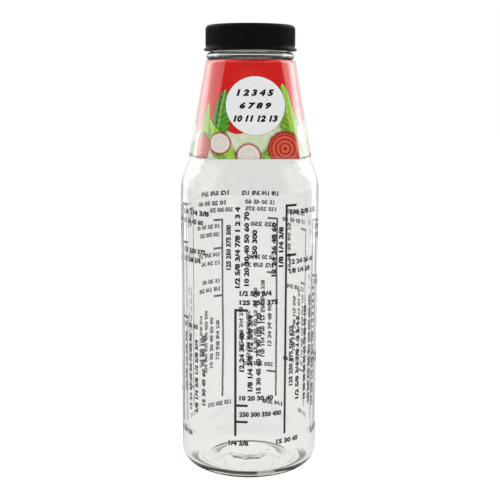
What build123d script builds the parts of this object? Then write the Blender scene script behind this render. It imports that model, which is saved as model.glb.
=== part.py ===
"""Salad dressing shaker bottle: a round glass bottle with a tapered neck, a ribbed screw cap
with a foam liner, and a folded card sleeve that sits loose round the neck.

The frame is in millimetres. The origin is the centre of the foot, on the surface that the
bottle stands on. +Z is up along the bottle, and the front of the sleeve faces -Y.
"""

import os
from math import cos, radians, sin, sqrt, tan

from build123d import *

# Glass bottle, from the foot up: heel, straight body, shoulder, taper, neck, bead and finish
body_diameter = 64.0
wall = 2.5
heel_radius = 8.0
shoulder_height = 129.8
shoulder_radius = 27.0
taper_angle = 21.0
neck_diameter = 36.0
neck_blend_radius = 40.0
neck_straight = 10.8
bead_projection = 2.0
bead_width = 3.4
finish_step = 0.45
finish_height = 9.4
rim_rounding = 0.8

# Foot of the bottle, with its push-up and floor
bearing_width = 3.5
bearing_rounding = 1.2
push_up_depth = 1.8
push_up_flat_diameter = 27.0
floor_thickness = 2.4
floor_dish = 1.6
floor_corner_radius = 4.5

# Foam liner, and the ridge that keeps it in the cap
thread_room = 1.4
liner_play = 0.35
liner_thickness = 1.0
seat_clearance = 0.05
ridge_hold = 0.3
ridge_height = 0.5
ridge_gap = 0.15

# Screw cap: a ribbed skirt over a smooth band
cap_wall = 1.17
cap_top_thickness = 1.5
cap_bead_gap = 0.7
cap_edge_rounding = 1.3
rib_count = 120
rib_width = 0.85
rib_depth = 0.28
rib_root = 0.1
rib_side_angle = 60
rib_end_margin = 0.6
band_flare = 0.7
band_height = 1.1
band_rounding = 0.4
cap_recess_depth = 0.25
cap_recess_rim = 2.4

# Card sleeve: flat front and back panels, a bowed card at each side, and a glued lap
card_thickness = 0.4
sleeve_height = 42.9
sleeve_clearance = 0.25
sleeve_bead_gap = 0.2
front_foot_width = 38.9
front_top_width = 23.8
side_top_gap = 2.3
front_top_gap = 0.9
lap_width = 9.0

# Places on the glass that follow from the sizes above
body_radius = body_diameter / 2
neck_radius = neck_diameter / 2
finish_radius = neck_radius - finish_step
bore_radius = neck_radius - wall
taper = radians(taper_angle)
taper_across = cos(taper)
taper_along = sin(taper)
shoulder_centre = body_radius - shoulder_radius
shoulder_end_x = shoulder_centre + shoulder_radius * taper_across
shoulder_end_z = shoulder_height + shoulder_radius * taper_along
blend_centre = neck_radius + neck_blend_radius
blend_start_x = blend_centre - neck_blend_radius * taper_across
blend_start_z = shoulder_end_z + (shoulder_end_x - blend_start_x) / tan(taper)
neck_height = blend_start_z + neck_blend_radius * taper_along
bead_foot_height = neck_height + neck_straight
bead_top_height = bead_foot_height + bead_width
rim_height = bead_top_height + finish_height
floor_height = push_up_depth + floor_thickness
floor_edge_height = floor_height - floor_dish

# Places on the cap and liner
liner_foot = rim_height + seat_clearance
cap_ceiling = liner_foot + liner_thickness + seat_clearance
cap_top = cap_ceiling + cap_top_thickness
cap_foot = bead_top_height + cap_bead_gap
cap_height = cap_top - cap_foot
cap_bore_radius = finish_radius + thread_room
liner_radius = cap_bore_radius - liner_play
skirt_radius = cap_bore_radius + cap_wall
ridge_top = rim_height - ridge_gap


def taper_point(centre_x, centre_z, radius):
    """The point of a round stretch where the straight taper joins it."""
    return (centre_x + radius * taper_across, centre_z + radius * taper_along)


def glass_radius(height):
    """The bottle's outer radius at a height between its heel and its bead."""
    if height < shoulder_height:
        return body_radius
    if height < shoulder_end_z:
        return shoulder_centre + sqrt(shoulder_radius**2 - (height - shoulder_height) ** 2)
    if height < blend_start_z:
        return shoulder_end_x - (height - shoulder_end_z) * tan(taper)
    if height < neck_height:
        return blend_centre - sqrt(neck_blend_radius**2 - (neck_height - height) ** 2)
    return neck_radius


# The glass bottle is one turned form: foot, body, shoulder, taper, bead and finish
with BuildPart() as glass_bottle:
    with BuildSketch(Plane.XZ):
        with BuildLine():
            underside = Polyline(
                (0, push_up_depth),
                (push_up_flat_diameter / 2, push_up_depth),
                (body_radius - heel_radius - bearing_width, 0),
                (body_radius - heel_radius, 0),
            )
            heel = JernArc(underside @ 1, (1, 0), heel_radius, 90)
            body = Line(heel @ 1, (body_radius, shoulder_height))
            shoulder = JernArc(body @ 1, (0, 1), shoulder_radius, taper_angle)
            outer_taper = Line(shoulder @ 1, (blend_start_x, blend_start_z))
            neck_blend = JernArc(
                outer_taper @ 1, outer_taper % 1, neck_blend_radius, -taper_angle
            )
            neck = Line(neck_blend @ 1, (neck_radius, bead_foot_height))
            bead = ThreePointArc(
                neck @ 1,
                (neck_radius + bead_projection, bead_foot_height + bead_width / 2),
                (finish_radius, bead_top_height),
            )
            finish = Polyline(
                bead @ 1,
                (finish_radius, rim_height),
                (bore_radius, rim_height),
                (bore_radius, neck_height),
            )
            inner_blend = JernArc(
                finish @ 1, (0, -1), neck_blend_radius + wall, taper_angle
            )
            inner_taper = Line(
                inner_blend @ 1,
                taper_point(shoulder_centre, shoulder_height, shoulder_radius - wall),
            )
            inner_shoulder = JernArc(
                inner_taper @ 1, inner_taper % 1, shoulder_radius - wall, -taper_angle
            )
            inner_wall = Line(
                inner_shoulder @ 1,
                (body_radius - wall, floor_edge_height + floor_corner_radius),
            )
            floor_corner = JernArc(inner_wall @ 1, (0, -1), floor_corner_radius, -90)
            floor = TangentArc((0, floor_height), floor_corner @ 1, tangent=(1, 0))
            Line(floor @ 0, underside @ 0)
        make_face()
    revolve(axis=Axis.Z)
    rim_edges = glass_bottle.edges().filter_by(GeomType.CIRCLE).group_by(Axis.Z)[-1]
    fillet(rim_edges, rim_rounding)
    foot_edges = glass_bottle.edges().filter_by(GeomType.CIRCLE).group_by(Axis.Z)[0]
    fillet(foot_edges.sort_by(SortBy.RADIUS)[0], bearing_rounding)

glass_bottle.part.label = "glass_bottle"

# The cap is a cup with a ribbed skirt over a smooth flared band
with BuildPart() as screw_cap:
    with BuildSketch(Plane.XY.offset(cap_foot)):
        Circle(skirt_radius)
    extrude(amount=cap_height)
    cap_edge = screw_cap.edges().filter_by(GeomType.CIRCLE).sort_by(Axis.Z)[-1]
    fillet(cap_edge, cap_edge_rounding)
    with BuildSketch(Plane.XY.offset(cap_foot + band_height / 2)):
        Circle(skirt_radius)
        with PolarLocations(skirt_radius - rib_root, rib_count):
            Trapezoid(
                rib_width,
                rib_root + rib_depth,
                rib_side_angle,
                rotation=-90,
                align=(Align.CENTER, Align.MIN),
            )
    extrude(amount=cap_height - band_height / 2 - cap_edge_rounding - rib_end_margin)
    with BuildSketch(Plane.XY.offset(cap_foot)):
        Circle(skirt_radius + rib_depth + band_flare)
    extrude(amount=band_height)
    band_edges = screw_cap.edges().filter_by(GeomType.CIRCLE).group_by(SortBy.RADIUS)[-1]
    fillet(band_edges, band_rounding)
    with BuildSketch(Plane.XY.offset(cap_top)):
        Circle(skirt_radius - cap_recess_rim)
    extrude(amount=-cap_recess_depth, mode=Mode.SUBTRACT)
    with BuildSketch(Plane.XY.offset(cap_foot)):
        Circle(cap_bore_radius)
    extrude(amount=cap_ceiling - cap_foot, mode=Mode.SUBTRACT)
    with BuildSketch(Plane.XY.offset(ridge_top - ridge_height)):
        Circle(cap_bore_radius)
        Circle(liner_radius - ridge_hold, mode=Mode.SUBTRACT)
    extrude(amount=ridge_height)

screw_cap.part.label = "screw_cap"

# The liner is a plain foam disc between the rim and the cap's ceiling
with BuildPart() as cap_liner:
    with BuildSketch(Plane.XY.offset(liner_foot)):
        Circle(liner_radius)
    extrude(amount=liner_thickness)

cap_liner.part.label = "cap_liner"

# The sleeve's foot sits on the taper, and its top lies just under the bead
sleeve_top = bead_foot_height - sleeve_bead_gap
sleeve_foot = sleeve_top - sleeve_height
foot_reach = glass_radius(sleeve_foot) + sleeve_clearance + card_thickness


def sleeve_section(height, front_width, side_reach, front_reach, grow):
    """The sleeve's outline at one height: flat front and back, with a bowed card at each side."""
    with BuildSketch(Plane.XY.offset(height)) as section:
        with BuildLine():
            for way in (1, -1):
                side = ThreePointArc(
                    (way * front_width / 2, -way * front_reach),
                    (way * side_reach, 0),
                    (way * front_width / 2, way * front_reach),
                )
                Line(side @ 1, (-way * front_width / 2, way * front_reach))
        make_face()
        if grow:
            offset(amount=grow, kind=Kind.INTERSECTION)
    return section.sketch


def sleeve_block(grow):
    """The sleeve as a solid block, with its outside grown by an amount of card."""
    with BuildPart() as block:
        foot = sleeve_section(sleeve_foot, front_foot_width, foot_reach, foot_reach, grow)
        top = sleeve_section(
            sleeve_top,
            front_top_width,
            neck_radius + side_top_gap,
            neck_radius + front_top_gap,
            grow,
        )
        loft([foot, top], ruled=True)
    return block.part


with BuildPart() as lap:
    add(sleeve_block(card_thickness))
    add(sleeve_block(0), mode=Mode.SUBTRACT)
    with BuildSketch(Plane.XY.offset(sleeve_foot)):
        Rectangle(body_diameter, lap_width, align=(Align.MIN, Align.MIN))
    extrude(amount=sleeve_height, mode=Mode.INTERSECT)

with BuildPart() as card_sleeve:
    add(sleeve_block(0))
    add(sleeve_block(-card_thickness), mode=Mode.SUBTRACT)
    add(lap.part)

card_sleeve.part.label = "card_sleeve"

os.makedirs("parts", exist_ok=True)
for piece in (glass_bottle, screw_cap, cap_liner, card_sleeve):
    export_step(piece.part, f"parts/{piece.part.label}.step")
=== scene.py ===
"""Dressing bottle: glass, printed scales, screw cap, liner and card sleeve.

Run as a script in Blender 4.5. Each operator makes one piece, or a group of like pieces, round the
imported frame, and the last one makes the stage.
"""

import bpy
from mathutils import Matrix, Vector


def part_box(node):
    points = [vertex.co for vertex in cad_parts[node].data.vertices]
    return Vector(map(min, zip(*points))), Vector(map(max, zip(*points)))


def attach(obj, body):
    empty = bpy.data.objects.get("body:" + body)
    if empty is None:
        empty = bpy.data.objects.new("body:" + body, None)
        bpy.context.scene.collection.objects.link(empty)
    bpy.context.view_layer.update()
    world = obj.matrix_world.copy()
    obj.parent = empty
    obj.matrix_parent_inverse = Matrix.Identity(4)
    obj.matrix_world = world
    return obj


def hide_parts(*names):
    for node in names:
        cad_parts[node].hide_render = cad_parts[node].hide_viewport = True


bl_info = {
    "name": "Dressing Bottle",
    "version": (1, 0, 0),
    "blender": (4, 5, 0),
    "location": "View3D > Sidebar > Bottle",
    "description": "Makes a glass dressing bottle with its cap, liner, printed scales and sleeve",
    "category": "Add Mesh",
}

from math import asin, atan2, ceil, cos, hypot, pi, radians, sin, tan

import bmesh
import bpy
from bpy.props import FloatProperty, FloatVectorProperty, IntProperty, PointerProperty
from bpy.types import Operator, Panel, PropertyGroup
from mathutils import Matrix, Vector, noise

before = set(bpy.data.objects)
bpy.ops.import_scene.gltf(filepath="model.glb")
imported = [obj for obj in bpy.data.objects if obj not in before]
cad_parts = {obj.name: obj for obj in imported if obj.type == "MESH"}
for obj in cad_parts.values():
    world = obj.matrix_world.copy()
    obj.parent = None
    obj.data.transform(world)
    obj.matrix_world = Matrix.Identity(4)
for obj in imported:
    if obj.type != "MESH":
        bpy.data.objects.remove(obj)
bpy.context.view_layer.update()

MM = 0.001
FULL_TURN = 2 * pi
# Places closer than this count as one
NEAR = 0.02 * MM
GLASS_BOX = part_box("glass_bottle")
CAP_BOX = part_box("screw_cap")
LINER_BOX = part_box("cap_liner")
SLEEVE_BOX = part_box("card_sleeve")


def length(name, description, millimetres):
    """A length that the user can change, given in millimetres and kept in metres."""
    return FloatProperty(
        name=name, description=description, default=millimetres * MM, unit="LENGTH", precision=5
    )


def angle(name, description, in_degrees):
    """An angle that the user can change, given in degrees."""
    return FloatProperty(
        name=name, description=description, default=radians(in_degrees), unit="ROTATION"
    )


def amount(name, description, value):
    """A plain number that the user can change."""
    return FloatProperty(name=name, description=description, default=value)


def colour(name, description, value):
    """A colour that the user can change, in linear light."""
    return FloatVectorProperty(
        name=name, description=description, default=value, subtype="COLOR", size=3, min=0, max=1
    )


class GlassSettings(PropertyGroup):
    """Sizes and colours of the glass bottle."""

    wall: length("Wall", "Thickness of the glass in the body and neck", 2.5)
    heel_radius: length("Heel radius", "Rounding between the foot and the body", 8.0)
    shoulder_height: length("Shoulder height", "Where the straight body ends", 129.8)
    shoulder_radius: length("Shoulder radius", "Rounding between body and taper", 27.0)
    taper_angle: angle("Taper angle", "Slope of the taper from upright", 21.0)
    neck_radius: length("Neck radius", "Outer radius of the neck under the bead", 18.0)
    neck_blend_radius: length("Neck blend", "Rounding between taper and neck", 40.0)
    neck_straight: length("Straight neck", "Height of the neck's straight stretch", 10.8)
    bead_radius: length("Bead radius", "Outer radius of the bead", 20.0)
    bead_width: length("Bead width", "Height of the bead", 3.4)
    finish_radius: length("Finish radius", "Outer radius of the finish", 17.55)
    rim_rounding: length("Rim rounding", "Rounding of the rim's edges", 0.8)
    push_up_depth: length("Push-up depth", "How far the base rises inside the foot", 1.8)
    push_up_radius: length("Push-up radius", "Radius of the push-up's flat", 13.5)
    push_up_rounding: length("Push-up rounding", "Rounding round the push-up's flat", 4.0)
    bearing_rounding: length("Bearing rounding", "Rounding inside the bearing ring", 1.2)
    bearing_width: length("Bearing width", "Width of the ring that the bottle stands on", 3.5)
    stipple: length("Stipple", "Depth of the dents in the bearing ring", 0.12)
    floor_height: length("Floor height", "Height of the inner floor at its edge", 2.6)
    floor_dish: length("Floor dish", "How far the floor rises to its centre", 1.6)
    floor_corner: length("Floor corner", "Rounding inside the foot", 4.5)
    thread_pitch: length("Thread pitch", "Rise of the thread in one turn", 4.233)
    thread_depth: length("Thread depth", "How far the thread stands proud", 0.95)
    thread_width: length("Thread width", "Width of the thread at its root", 2.2)
    thread_drop: length("Thread drop", "From the liner down to the thread's start", 7.35)
    seam: length("Mould seam", "How far the two mould seams stand proud", 0.03)
    waviness: length("Waviness", "How uneven the inner wall is", 0.12)
    tint: colour("Tint", "Colour of thick glass", (0.61, 0.79, 0.29))
    absorption: amount("Absorption", "How strongly thick glass shows its colour", 14.0)
    ripple: length("Ripple", "Size of the faint ripples on the glass", 14.0)
    patch_radius: length("Patch radius", "Radius of the uneven patch under the base", 13.0)
    patch_top: length("Patch top", "Height up to which the patch shows", 5.0)
    patch_swirl: length("Patch swirls", "Size of the patch's swirls", 5.0)
    patch_strength: amount("Patch strength", "Height of the swirls against the ripples", 7.0)


class ScaleSettings(PropertyGroup):
    """Sizes and colour of the enamel scales on the bottle."""

    line_width: length("Line width", "Width of the lines and ticks", 1.1)
    tick_length: length("Tick length", "Length of a tick", 5.6)
    digit_height: length("Digit height", "Height of the digits", 2.4)
    digit_pitch: length("Digit pitch", "Room that a digit takes along its row", 1.55)
    boldness: amount("Boldness", "How far the digits are thickened, in shares of their size", 0.06)
    film: length("Film", "How far the enamel stands off the glass", 0.05)
    foot: length("Foot", "Height at which the lines start", 22.0)
    enamel: colour("Enamel", "Colour of the enamel", (0.006, 0.006, 0.006))


class CapSettings(PropertyGroup):
    """Sizes and colours of the screw cap and its liner."""

    skirt_radius: length("Skirt radius", "Radius of the skirt between its ribs", 20.12)
    bore_radius: length("Bore radius", "Inner radius of the skirt", 18.95)
    top_thickness: length("Top thickness", "Thickness of the cap's top", 1.5)
    edge_rounding: length("Edge rounding", "Rounding of the top edge", 1.3)
    rib_count: IntProperty(name="Ribs", description="Number of ribs round the skirt", default=120)
    rib_depth: length("Rib depth", "How far a rib stands proud", 0.28)
    band_height: length("Band height", "Height of the smooth band at the cap's foot", 1.1)
    recess_depth: length("Recess", "Depth of the shallow recess in the top", 0.25)
    recess_radius: length("Recess radius", "Radius of the recess", 17.72)
    ridge_radius: length("Ridge radius", "Inner radius of the ridge that holds the liner", 18.3)
    ridge_drop: length("Ridge drop", "From the liner down to the ridge", 0.2)
    ridge_height: length("Ridge height", "Height of the ridge", 0.5)
    thread_depth: length("Thread depth", "How far the inner thread stands proud", 0.85)
    thread_width: length("Thread width", "Width of the inner thread at its root", 1.7)
    imprint: length("Imprint", "Depth of the ring that the rim presses in the liner", 0.12)
    plastic: colour("Plastic", "Colour of the cap", (0.0040, 0.0040, 0.0042))
    foam: colour("Foam", "Colour of the liner", (0.80, 0.80, 0.77))
    cells: amount("Foam cells", "Number of foam cells in a metre", 2200.0)


class SleeveSettings(PropertyGroup):
    """Sizes and colours of the card sleeve."""

    card: length("Card", "Thickness of the card", 0.4)
    front_foot_width: length("Front width at the foot", "Width of the front panel, below", 38.9)
    front_top_width: length("Front width at the top", "Width of the front panel, above", 23.8)
    foot_reach: length("Reach at the foot", "From the axis to a panel, below", 28.203)
    front_top_reach: length("Front reach at the top", "From the axis to the front, above", 18.9)
    side_top_reach: length("Side reach at the top", "From the axis to a side, above", 20.3)
    crease: length("Crease", "Rounding of the creases", 0.35)
    wave: length("Wave", "How uneven the bowed sides are", 0.08)
    lap_width: length("Lap", "Width of the glued lap", 9.0)
    print_span: length("Print span", "Length that the print's coordinates run over", 200.0)
    print_repeat: length("Print repeat", "Length after which leaves and slices repeat", 66.0)
    roundel_height: length("Roundel height", "From the foot to the middle of the roundel", 23.5)
    roundel_offset: length("Roundel offset", "How far the roundel sits to the right", 0.7)
    roundel_radius: length("Roundel radius", "Radius of the roundel", 12.9)
    digit_height: length("Digit height", "Height of the digits in the roundel", 3.0)
    row_pitch: length("Row pitch", "From one row of digits to the next", 5.7)
    boldness: amount("Boldness", "How far the digits are thickened, in shares of their size", 0.06)
    slant: amount("Slant", "How far the digits lean, in shares of their height", 0.25)
    red: colour("Red", "The sleeve's main colour", (0.72, 0.003, 0.001))
    cream: colour("Cream", "Colour between the leaves", (0.66, 0.76, 0.46))


class StageSettings(PropertyGroup):
    """Camera, lamps, floor and surroundings."""

    focal_pixels: amount("Focal length", "Focal length in pixels of the picture", 970.0)
    picture_pixels: amount("Picture", "Width of the picture in pixels", 500.0)
    camera_distance: length("Distance", "From the bottle's axis to the camera", 449.9)
    camera_height: length("Camera height", "Height of the camera above the floor", 174.8)
    camera_side: angle("Side", "How far the camera stands to the left", 4.0)
    camera_pitch: angle("Pitch", "How far the camera looks down", 9.2)
    camera_roll: angle("Roll", "How far the camera is rolled", 0.22)
    camera_swing: angle("Swing", "How far it looks past the axis", 0.027)
    floor_size: length("Floor", "Width of the floor", 8000.0)
    floor_lift: amount("Floor lift", "Light added to the floor that the camera sees", 0.56)
    floor_bounced: amount("Floor in glass", "Light added to the floor seen through glass", 0.74)
    wall_bounced: amount("Wall in glass", "Light of the surroundings seen through glass", 1.05)
    front_bounced: amount("Front in glass", "The same on the camera's side", 0.03)
    wall_lit: amount("Wall light", "Light of the surroundings on matt surfaces", 0.6)
    floor_grey: amount("Floor grey", "Grey of the floor", 0.8)
    floor_grey_bounced: amount("Floor grey in glass", "Grey of the floor seen through glass", 0.1)
    # Painted shadow: colour of the dark ring right under the heel
    contact: colour("Contact", "Colour of the floor right under the heel", (0.010, 0.014, 0.004))
    ring_inner: length("Ring inside", "Inner radius of the dark ring under the heel", 24.6)
    ring_outer: length("Ring outside", "Outer radius of that ring", 29.5)
    ring_gap: length("Ring gap", "Where the ring is paler, right of the middle", 6.5)
    left_power: amount("Left power", "Power of the left strip light in watts", 1.4)
    right_power: amount("Right power", "Power of the right strip light in watts", 1.82)
    top_power: amount("Top power", "Power of the soft box above in watts", 3.0)


def vertices(pieces):
    """The vertices among what a bmesh operator made."""
    return [piece for piece in pieces if isinstance(piece, bmesh.types.BMVert)]


class Pen:
    """Draws an outline in one plane, from straight runs, arcs and rounded corners."""

    def __init__(self, mesh, start, normal=(0, -1, 0)):
        self.mesh = mesh
        self.normal = Vector(normal)
        self.tip = mesh.verts.new(start)

    def line_to(self, place, cuts=1):
        """A straight run, cut into even lengths."""
        start = self.tip.co.copy()
        run = Vector(place) - start
        for step in range(1, cuts + 1):
            made = bmesh.ops.extrude_vert_indiv(self.mesh, verts=[self.tip])
            self.tip = made["verts"][0]
            self.tip.co = start + run * (step / cuts)

    def arc(self, centre, turn, steps):
        """An arc about a centre, anticlockwise where turn is positive."""
        made = bmesh.ops.spin(
            self.mesh,
            geom=[self.tip],
            cent=centre,
            axis=self.normal,
            angle=turn,
            steps=steps,
        )
        self.tip = vertices(made["geom_last"])[0]

    def corner(self, place, after, radius, steps, cuts=1):
        """A straight run to a corner, rounded towards the place that comes after it."""
        place = Vector(place)
        back = (self.tip.co - place).normalized()
        ahead = (Vector(after) - place).normalized()
        turn = pi - back.angle(ahead)
        start = place + back * (radius * tan(turn / 2))
        self.line_to(start, cuts)
        way = -1 if back.cross(ahead).dot(self.normal) > 0 else 1
        centre = start - self.normal.cross(back) * (radius * way)
        self.arc(centre, turn * way, steps)


def turned_outline(mesh, start, corners, end):
    """The outline of a turned piece: corners are (x, z, rounding, steps, cuts)."""
    pen = Pen(mesh, (start[0], 0, start[1]))
    ahead = corners[1:] + [end]
    for (x, z, rounding, steps, cuts), after in zip(corners, ahead):
        if rounding:
            pen.corner((x, 0, z), (after[0], 0, after[1]), rounding, steps, cuts)
        else:
            pen.line_to((x, 0, z), cuts)
    pen.line_to((end[0], 0, end[1]), end[2])


def turn_round(mesh, steps):
    """Turns an outline about Z and closes its seam and poles."""
    bmesh.ops.spin(
        mesh,
        geom=mesh.verts[:] + mesh.edges[:],
        cent=(0, 0, 0),
        axis=(0, 0, 1),
        angle=FULL_TURN,
        steps=steps,
        use_merge=True,
    )
    bmesh.ops.remove_doubles(mesh, verts=mesh.verts, dist=0.001 * MM)
    bmesh.ops.recalc_face_normals(mesh, faces=mesh.faces)


def finish_piece(mesh, name, body, slot, *materials):
    """Makes a bmesh into an object that rides on its body."""
    for face in mesh.faces:
        face.smooth = True
    data = bpy.data.meshes.new(name)
    mesh.to_mesh(data)
    mesh.free()
    for material in materials:
        data.materials.append(material)
    piece = bpy.data.objects.new(name, data)
    bpy.context.collection.objects.link(piece)
    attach(piece, body)
    return piece


def ease(x):
    """Runs smoothly from 0 to 1 as x does."""
    x = min(max(x, 0.0), 1.0)
    return x * x * (3 - 2 * x)


def thread_rise(place, pitch, base, turns, width):
    """How far a thread stands proud at a place, from 0 to 1, between two counts of turns."""
    first, last = turns
    run_out, steepness = 0.07, 1.7
    around = (atan2(place.y, place.x) % FULL_TURN) / FULL_TURN
    rise = 0.0
    for lap in range(int(last) + 1):
        along = around + lap
        if first < along < last:
            off = abs(place.z - (base + pitch * along)) / (width / 2)
            fade = ease((along - first) / run_out) * ease((last - along) / run_out)
            rise = max(rise, fade * ease(steepness * (1 - off)))
    return rise


def digits(text, height, width, bold, slant=0.0):
    """A row of digits as a flat mesh in XY, its left foot at the origin."""
    curve = bpy.data.curves.new("digits", "FONT")
    curve.body = text
    curve.offset = bold
    curve.shear = slant
    curve.resolution_u = 2
    row = bpy.data.objects.new("digits", curve)
    bpy.context.collection.objects.link(row)
    data = bpy.data.meshes.new_from_object(row)
    bpy.data.objects.remove(row)
    bpy.data.curves.remove(curve)
    across, up, _ = zip(*(vert.co for vert in data.vertices))
    low = Vector((min(across), min(up), 0))
    wide, tall = width / (max(across) - low.x), height / (max(up) - low.y)
    data.transform(Matrix.Diagonal((wide, tall, 1, 1)) @ Matrix.Translation(-low))
    return data


def count_up(series, room):
    """As much of a series of numbers as best fills a number of letters, never less than one."""
    text = series[0]
    for number in series[1:]:
        if len(text) + (len(number) + 1) / 2 > room:
            break
        text += " " + number
    return text


def sum_of(operation, swapped=False):
    """A method that makes a Math node of a value and another number."""

    def make(self, other):
        pair = (other, self) if swapped else (self, other)
        return self.nodes.math(operation, *pair)

    return make


class Value:
    """A node's output. A sum with it makes a Math node."""

    def __init__(self, nodes, socket):
        self.nodes = nodes
        self.socket = socket

    __add__ = sum_of("ADD")
    __sub__ = sum_of("SUBTRACT")
    __rsub__ = sum_of("SUBTRACT", swapped=True)
    __mul__ = sum_of("MULTIPLY")
    __truediv__ = sum_of("DIVIDE")
    __rtruediv__ = sum_of("DIVIDE", swapped=True)

    def __abs__(self):
        return self.nodes.math("ABSOLUTE", self)

    def sine(self):
        """The sine of this angle."""
        return self.nodes.math("SINE", self)

    def fade(self, start, end):
        """Runs smoothly from 0 where this is start to 1 where it is end."""
        return self.nodes.value(
            "MapRange", interpolation_type="SMOOTHSTEP", Value=self, From_Min=start, From_Max=end
        )

    def noise(self, scale, detail=2.0):
        """A Noise texture's value at this place."""
        return self.nodes.value("TexNoise", Vector=self, Scale=scale, Detail=detail)

    def away(self, middle):
        """This place, measured from another."""
        return self.nodes.vector("SUBTRACT", self, middle)

    def reach(self):
        """How long this vector is."""
        return self.nodes.vector("LENGTH", self, out=1)

    def split(self):
        """This vector's X, Y and Z."""
        parts = self.nodes.add("SeparateXYZ", self).outputs
        return [Value(self.nodes, part) for part in parts]


class Nodes:
    """A node tree, with short names for what this file does with it."""

    def __init__(self, tree):
        self.tree = tree

    def feed(self, socket, value):
        """Links an output to a socket, or sets a plain value on it."""
        if isinstance(value, Value):
            value = value.socket
        if isinstance(value, bpy.types.NodeSocket):
            self.tree.links.new(value, socket)
        else:
            socket.default_value = value

    def add(self, kind, *first, **given):
        """A node: names in capitals are inputs and others settings, after its first inputs."""
        node = self.tree.nodes.new("ShaderNode" + kind)
        for key, value in given.items():
            if key[0].isupper():
                self.feed(node.inputs[key.replace("_", " ")], value)
            else:
                setattr(node, key, value)
        for socket, value in zip(node.inputs, first):
            self.feed(socket, value)
        return node

    def value(self, kind, *first, out=0, **given):
        """One output of a new node."""
        return Value(self, self.add(kind, *first, **given).outputs[out])

    def math(self, operation, *values, clamp=False):
        """A Math node's output."""
        return self.value("Math", *values, operation=operation, use_clamp=clamp)

    def scaled(self, value, factor, offset, clamp=False):
        """A value times a factor, plus an offset."""
        return self.math("MULTIPLY_ADD", value, factor, offset, clamp=clamp)

    def vector(self, operation, *values, out=0):
        """A Vector Math node's output."""
        return self.value("VectorMath", *values, out=out, operation=operation)

    def mix(self, factor, first, second):
        """A colour between two others."""
        node = self.add("Mix", data_type="RGBA")
        for index, value in ((0, factor), (6, first), (7, second)):
            self.feed(node.inputs[index], value)
        return Value(self, node.outputs[2])


PLACE = (0.0, 0.0, 0.0)
WHITE = (1.0, 1.0, 1.0, 1.0)


class SharedGroup:
    """A shared node group, wired by the function under it when a material first uses it.

    Its sockets are given with a number, a place or a colour, which says their kind.
    """

    def __init__(self, outputs, **inputs):
        self.outputs = outputs
        self.inputs = inputs

    def __call__(self, wire):
        self.wire = wire
        return self

    def tree(self):
        """The group's node tree."""
        name = self.wire.__name__
        if name in bpy.data.node_groups:
            return bpy.data.node_groups[name]
        tree = bpy.data.node_groups.new(name, "ShaderNodeTree")
        kinds = {3: "NodeSocketVector", 4: "NodeSocketColor"}
        for in_out, sockets in (("INPUT", self.inputs), ("OUTPUT", self.outputs)):
            for key, default in sockets.items():
                plain = isinstance(default, float)
                kind = "NodeSocketFloat" if plain else kinds[len(default)]
                socket = tree.interface.new_socket(name=key, in_out=in_out, socket_type=kind)
                socket.default_value = default
        nodes = Nodes(tree)
        given = tree.nodes.new("NodeGroupInput").outputs
        made = tree.nodes.new("NodeGroupOutput").inputs
        results = self.wire(nodes, *(Value(nodes, given[key]) for key in self.inputs))
        for key, result in zip(self.outputs, results):
            nodes.feed(made[key], result)
        return tree


@SharedGroup({"Height": 0.0, "Roughness": 0.0}, Vector=PLACE, Size=0.001, Roughness=0.4)
def fine_grain(nodes, place, size, roughness):
    """A fine uneven skin, as a height and as a change in roughness."""
    scale = 1.0 / size
    fine = place.noise(scale, 4.0)
    broad = place.noise(scale * 0.08, 3.0)
    change = nodes.scaled(broad, 0.5, fine * 0.5) - 0.5
    return fine, nodes.scaled(change, 0.35, roughness, clamp=True)


@SharedGroup({"Height": 0.0}, Vector=PLACE, Radius=0.013, Top=0.005, Size=0.003)
def cooled_patch(nodes, place, radius, top, size):
    """The height of a round patch where the mould chilled the glass unevenly."""
    low = place.split()[2].fade(top, top * 0.9)
    near = place.reach().fade(radius, radius * 0.75)
    return (place.noise(1.0 / size) * (low * near),)


@SharedGroup({"Mask": 0.0}, Vector=PLACE, Edge=0.0, Size=0.001, Wear=0.5)
def worn_edge(nodes, place, edge, size, wear):
    """A mask of broken wear and painted highlight along edges that an attribute marks."""
    # Lighter where marked: partly wear, partly painted highlight
    patch = place.noise(1.0 / size, 5.0)
    start = 1.0 - wear
    return ((edge * (patch + 0.25)).fade(start, start + 0.18),)


@SharedGroup(
    {"Color": WHITE},
    Vector=PLACE,
    Middle=PLACE,
    Radius=5.0,
    Rim=(0.55, 0.01, 0.05, 1.0),
    Flesh=(0.86, 0.84, 0.76, 1.0),
    Rings=0.0,
    Under=WHITE,
)
def root_slice(nodes, place, middle, radius, rim, flesh, rings, under):
    """A round slice with a coloured rim, pale flesh and fine rays."""
    offset = place.away(middle)
    apart = offset.reach()
    out = apart / (radius * nodes.scaled(offset.noise(0.35), 0.12, 0.94))
    x, y, _ = offset.split()
    rays = abs((nodes.math("ARCTAN2", y, x) * 11.0).sine())
    streak = rays * (out.fade(0.12, 0.45) * (1.0 - out.fade(0.62, 0.8))) * 0.45
    pink = nodes.mix(0.45, flesh, rim)
    tone = nodes.mix(streak, flesh, pink)
    core = 1.0 - out.fade(0.06, 0.16)
    tone = nodes.mix(core * 0.6, tone, pink)
    ripple = (out * 26.0).sine().fade(-0.4, 0.8)
    tone = nodes.mix(ripple * rings, tone, rim)
    tone = nodes.mix(out.fade(0.78, 0.9), tone, pink)
    tone = nodes.mix(out.fade(0.88, 0.93), tone, rim)
    ground = nodes.mix(out.fade(1.16, 1.0) * 0.45, under, (0.03, 0.05, 0.01, 1))
    return (nodes.mix(out.fade(1.0, 0.985), ground, tone),)


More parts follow.
